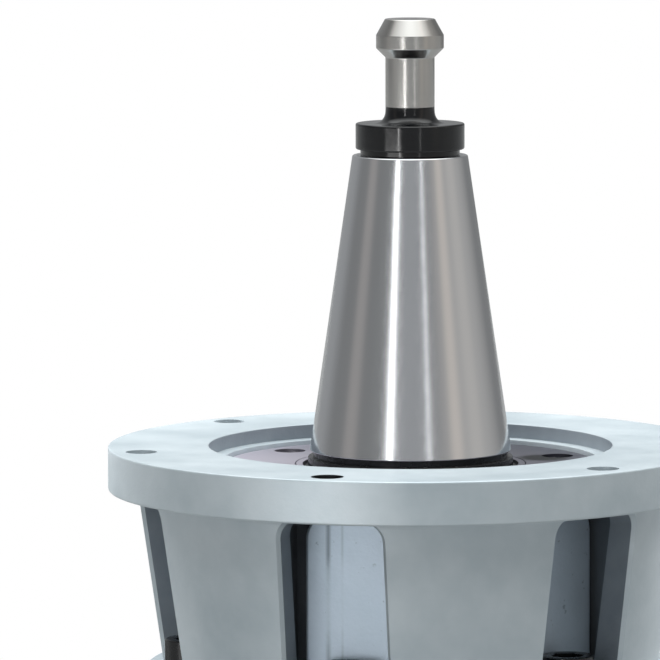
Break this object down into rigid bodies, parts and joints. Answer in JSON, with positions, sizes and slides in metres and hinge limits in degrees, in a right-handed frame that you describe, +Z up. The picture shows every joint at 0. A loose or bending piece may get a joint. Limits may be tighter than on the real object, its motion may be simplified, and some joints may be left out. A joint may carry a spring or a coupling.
{
  "type": "angle milling head",
  "caption": "Right-angle milling head with a steep taper arbor, a round bolting flange on a pocketed cone, and a swivelling bevel gear head with a taper spindle.",
  "frame": {"origin": "on the drive axis, in the plane of the gear case's flat base", "axes": "+Z up along the drive axis towards the pull stud; the output spindle points along -Y; +X to the right seen from the output side"},
  "size_m": [0.21, 0.21, 0.4178],
  "materials": {
    "body_grey": "satin light blue-grey",
    "ground_steel": "fine ground",
    "bearing_steel": "polished",
    "gear_steel": "machined",
    "black_steel": "black oxide",
    "black_rubber": "matt"
  },
  "bodies": {
    "adapter": {"adapter_body": "body_grey", "bearing_retainer": "ground_steel", "input_seal": "black_rubber", "upper_bearing_cup": "bearing_steel", "retainer_screw_1": "black_steel", "retainer_screw_2": "black_steel", "retainer_screw_3": "black_steel", "retainer_screw_4": "black_steel", "retainer_screw_5": "black_steel", "retainer_screw_6": "black_steel", "clamp_screw_1": "black_steel", "clamp_screw_2": "black_steel", "clamp_screw_3": "black_steel", "clamp_screw_4": "black_steel", "clamp_screw_5": "black_steel", "clamp_screw_6": "black_steel", "t_nut_1": "black_steel", "t_nut_2": "black_steel", "t_nut_3": "black_steel", "t_nut_4": "black_steel", "t_nut_5": "black_steel", "t_nut_6": "black_steel"},
    "head": {"gear_case": "body_grey", "front_cover": "body_grey", "rear_cap": "body_grey", "oil_plug": "black_steel", "lower_bearing_cup": "bearing_steel", "front_bearing_cup": "bearing_steel", "rear_bearing_cup": "bearing_steel", "cover_screw_1": "black_steel", "cover_screw_2": "black_steel", "cover_screw_3": "black_steel", "cover_screw_4": "black_steel"},
    "input_shaft": {"input_arbor": "ground_steel", "pull_stud": "ground_steel", "input_gear": "gear_steel", "input_key": "black_steel", "input_locknut": "black_steel", "upper_bearing_cone": "bearing_steel", "lower_bearing_cone": "bearing_steel"},
    "output_shaft": {"output_spindle": "ground_steel", "output_gear": "gear_steel", "front_bearing_cone": "bearing_steel", "rear_bearing_cone": "bearing_steel", "spacer_sleeve": "ground_steel", "output_locknut": "black_steel", "draw_screw": "black_steel", "drive_key_1": "black_steel", "drive_key_2": "black_steel"}
  },
  "joints": [
    {"name": "head_swivel", "type": "hinge", "parent": "adapter", "child": "head", "pos_m": [0, 0, 0.18], "axis": [0, 0, 1], "range_deg": [-180, 180]},
    {"name": "input_spin", "type": "hinge", "parent": "head", "child": "input_shaft", "pos_m": [0, 0, 0.25], "axis": [0, 0, 1], "continuous": true},
    {"name": "output_spin", "type": "hinge", "parent": "head", "child": "output_shaft", "pos_m": [0, -0.075, 0.085], "axis": [0, 1, 0], "continuous": true}
  ],
  "couplings": [
    {"joint": "output_spin", "follows": "input_spin", "ratio": 1}
  ]
}
